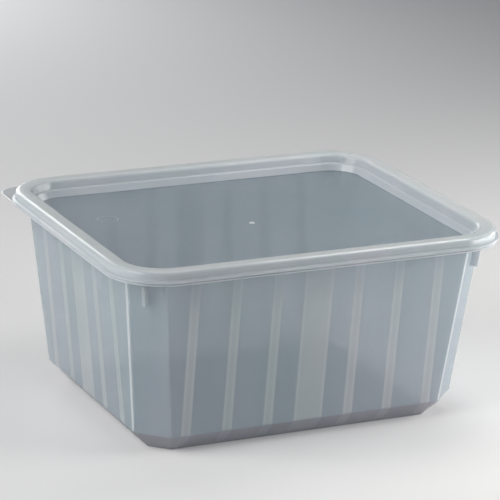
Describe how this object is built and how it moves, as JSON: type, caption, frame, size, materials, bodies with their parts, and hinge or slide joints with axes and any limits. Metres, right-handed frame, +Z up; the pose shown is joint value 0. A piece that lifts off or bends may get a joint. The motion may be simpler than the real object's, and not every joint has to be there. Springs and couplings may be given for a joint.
{
  "type": "takeaway container with lid",
  "caption": "Shut, empty takeaway tub of milky translucent plastic: tapered, with cut corners, ribbed walls and a press-on lid with a pull tab at one corner.",
  "frame": {"origin": "on the floor, under the middle of the container", "axes": "+X along the long side, +Y to the back, +Z up; the lid's pull tab is at the corner towards -X and +Y"},
  "size_m": [0.1924, 0.161, 0.0913],
  "materials": {
    "tub_plastic": "satin, milky translucent polypropylene",
    "lid_plastic": "gloss, milky translucent polypropylene"
  },
  "bodies": {
    "root": {"tub": "tub_plastic", "lid": "lid_plastic"}
  },
  "joints": []
}
